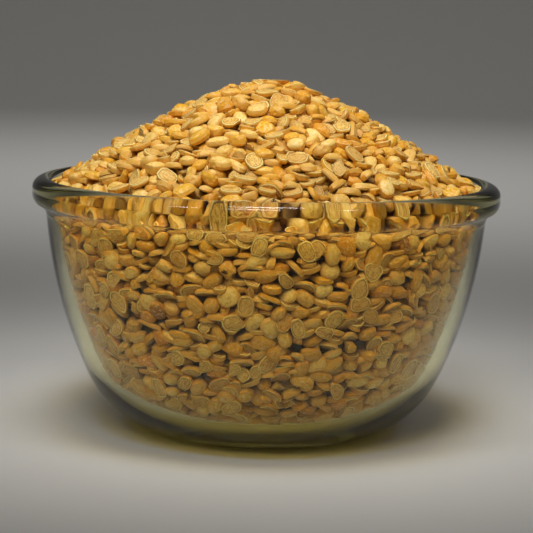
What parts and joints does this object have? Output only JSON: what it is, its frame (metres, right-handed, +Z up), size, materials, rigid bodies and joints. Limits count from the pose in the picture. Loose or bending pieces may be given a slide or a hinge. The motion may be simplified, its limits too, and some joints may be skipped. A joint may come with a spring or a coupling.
{
  "type": "glass bowl of split lentils",
  "caption": "Thick clear glass bowl with a rolled rim, heaped above the rim with dry yellow split lentils.",
  "frame": {"origin": "centre of the bowl's foot, on the surface that it stands on", "axes": "+Z up along the bowl's axis; the bowl is round, so +X and +Y are free, and the picture looks along +Y"},
  "size_m": [0.11, 0.11, 0.0831],
  "materials": {
    "glass": "thick clear pressed glass, faintly green where it is thick, smooth and glossy",
    "lentils": "dry split lentils, golden to straw yellow, with a dull waxy skin and paler cut faces"
  },
  "bodies": {
    "root": {"bowl": "glass", "lentils": "lentils"}
  },
  "joints": []
}
